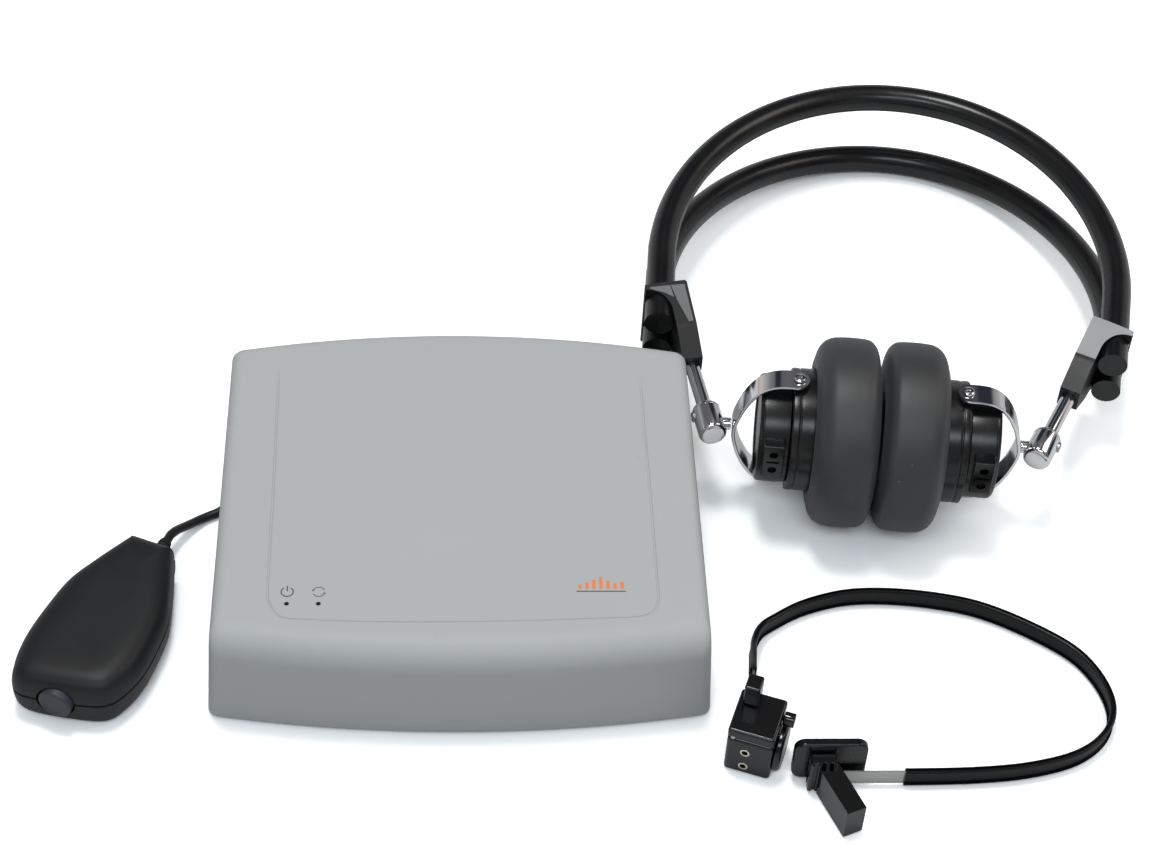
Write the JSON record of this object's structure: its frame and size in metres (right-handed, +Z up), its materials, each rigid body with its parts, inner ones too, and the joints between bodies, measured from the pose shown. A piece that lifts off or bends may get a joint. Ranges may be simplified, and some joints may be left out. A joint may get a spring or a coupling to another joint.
{
  "type": "screening audiometer set",
  "caption": "Flat desk unit with a response push button on a cord, double-band headphones on chrome yokes and a bone conductor on a spring headband.",
  "frame": {"origin": "middle of the whole set's bounding box, on the table that everything stands on", "axes": "+X to the right along the set's long side, with the desk unit on the left and the headphones on the right; +Y away from the user; +Z up"},
  "size_m": [0.3961, 0.3358, 0.0667],
  "materials": {
    "grey_shell": "fine textured light grey plastic",
    "dark_plastic": "fine textured dark grey plastic",
    "circuit_board": "green solder mask",
    "gloss_black": "glossy black plastic",
    "satin_black": "satin black plastic",
    "button_grey": "blue-grey satin plastic",
    "steel": "spring steel",
    "chrome": "polished chrome",
    "rubber": "matt black rubber",
    "cushion_rubber": "soft dark grey moulded rubber",
    "band_vinyl": "soft black vinyl tube",
    "cord_vinyl": "satin black vinyl",
    "light_pipe": "smoked clear plastic"
  },
  "bodies": {
    "root": {"top_cover": "grey_shell", "base_tray": "dark_plastic", "rear_panel": "dark_plastic", "main_board": "circuit_board", "processor": "gloss_black", "usb_socket": "steel", "left_phone_jack": "gloss_black", "right_phone_jack": "gloss_black", "bone_jack": "gloss_black", "response_jack": "gloss_black", "power_light": "light_pipe", "status_light": "light_pipe", "foot_front_left": "rubber", "foot_front_right": "rubber", "foot_rear_left": "rubber", "foot_rear_right": "rubber", "response_top_shell": "satin_black", "response_bottom_shell": "satin_black", "response_switch_body": "gloss_black", "cord_boot": "rubber", "cord_front": "cord_vinyl", "cord_hank": "cord_vinyl", "hank_tie": "rubber", "cord_rear": "cord_vinyl", "response_plug": "gloss_black", "spring_strap": "steel", "strap_sleeve": "cord_vinyl", "strap_clamp": "gloss_black", "transducer_yoke": "gloss_black", "yoke_screw": "gloss_black", "left_upper_band": "band_vinyl", "left_lower_band": "band_vinyl", "left_bracket": "satin_black"},
    "response_button": {"response_button": "button_grey", "button_spring": "steel"},
    "right_arm": {"right_upper_band": "band_vinyl", "right_lower_band": "band_vinyl", "right_bracket": "satin_black"},
    "left_slider": {"left_rod": "chrome", "left_collar": "chrome"},
    "right_slider": {"right_rod": "chrome", "right_collar": "chrome"},
    "left_yoke": {"left_fork": "chrome"},
    "right_yoke": {"right_fork": "chrome"},
    "left_cup": {"left_case": "gloss_black", "left_cap": "gloss_black", "left_receiver": "steel", "left_cushion": "cushion_rubber", "left_upper_pivot": "chrome", "left_lower_pivot": "chrome"},
    "right_cup": {"right_case": "gloss_black", "right_cap": "gloss_black", "right_receiver": "steel", "right_cushion": "cushion_rubber", "right_upper_pivot": "chrome", "right_lower_pivot": "chrome"},
    "bone_transducer": {"transducer": "gloss_black", "contact_disc": "gloss_black"},
    "temple_rest": {"temple_pad": "gloss_black", "pad_slider": "gloss_black"}
  },
  "joints": [
    {"name": "response_button_travel", "type": "slide", "parent": "root", "child": "response_button", "axis": [0.3827, 0.9239, 0], "range_m": [0, 0.002], "stiffness_N_per_m": 900, "springref_m": -0.0012},
    {"name": "headband_spread", "type": "hinge", "parent": "root", "child": "right_arm", "pos_m": [0.12638, 0.16709, 0.03335], "axis": [0, 0, 1], "range_deg": [0, 40], "stiffness_Nm_per_rad": 1, "springref_deg": -8.59},
    {"name": "left_rod_slide", "type": "slide", "parent": "root", "child": "left_slider", "axis": [0.15, -0.9887, 0], "range_m": [-0.002, 0.0025]},
    {"name": "right_rod_slide", "type": "slide", "parent": "right_arm", "child": "right_slider", "axis": [-0.4859, -0.874, 0], "range_m": [-0.012, 0.0025]},
    {"name": "left_yoke_turn", "type": "hinge", "parent": "left_slider", "child": "left_yoke", "pos_m": [0.04357, -0.01607, 0.03335], "axis": [-0.9945, 0.1045, 0], "range_deg": [-25, 25]},
    {"name": "right_yoke_turn", "type": "hinge", "parent": "right_slider", "child": "right_yoke", "pos_m": [0.14303, -0.02653, 0.03335], "axis": [0.9945, -0.1045, 0], "range_deg": [-25, 25]},
    {"name": "left_cup_tilt", "type": "hinge", "parent": "left_yoke", "child": "left_cup", "pos_m": [0.06446, -0.01827, 0.03335], "axis": [0, 0, 1], "range_deg": [-4, 4]},
    {"name": "right_cup_tilt", "type": "hinge", "parent": "right_yoke", "child": "right_cup", "pos_m": [0.12214, -0.02433, 0.03335], "axis": [0, 0, 1], "range_deg": [-4, 4]},
    {"name": "transducer_swivel", "type": "hinge", "parent": "root", "child": "bone_transducer", "pos_m": [0.0432, -0.1348, 0.0166], "axis": [0, 0, 1], "range_deg": [-12, 12]},
    {"name": "temple_rest_slide", "type": "slide", "parent": "root", "child": "temple_rest", "axis": [1, 0, 0], "range_m": [0, 0.01]}
  ],
  "couplings": [
    {"joint": "right_cup_tilt", "follows": "left_cup_tilt", "ratio": 1}
  ]
}
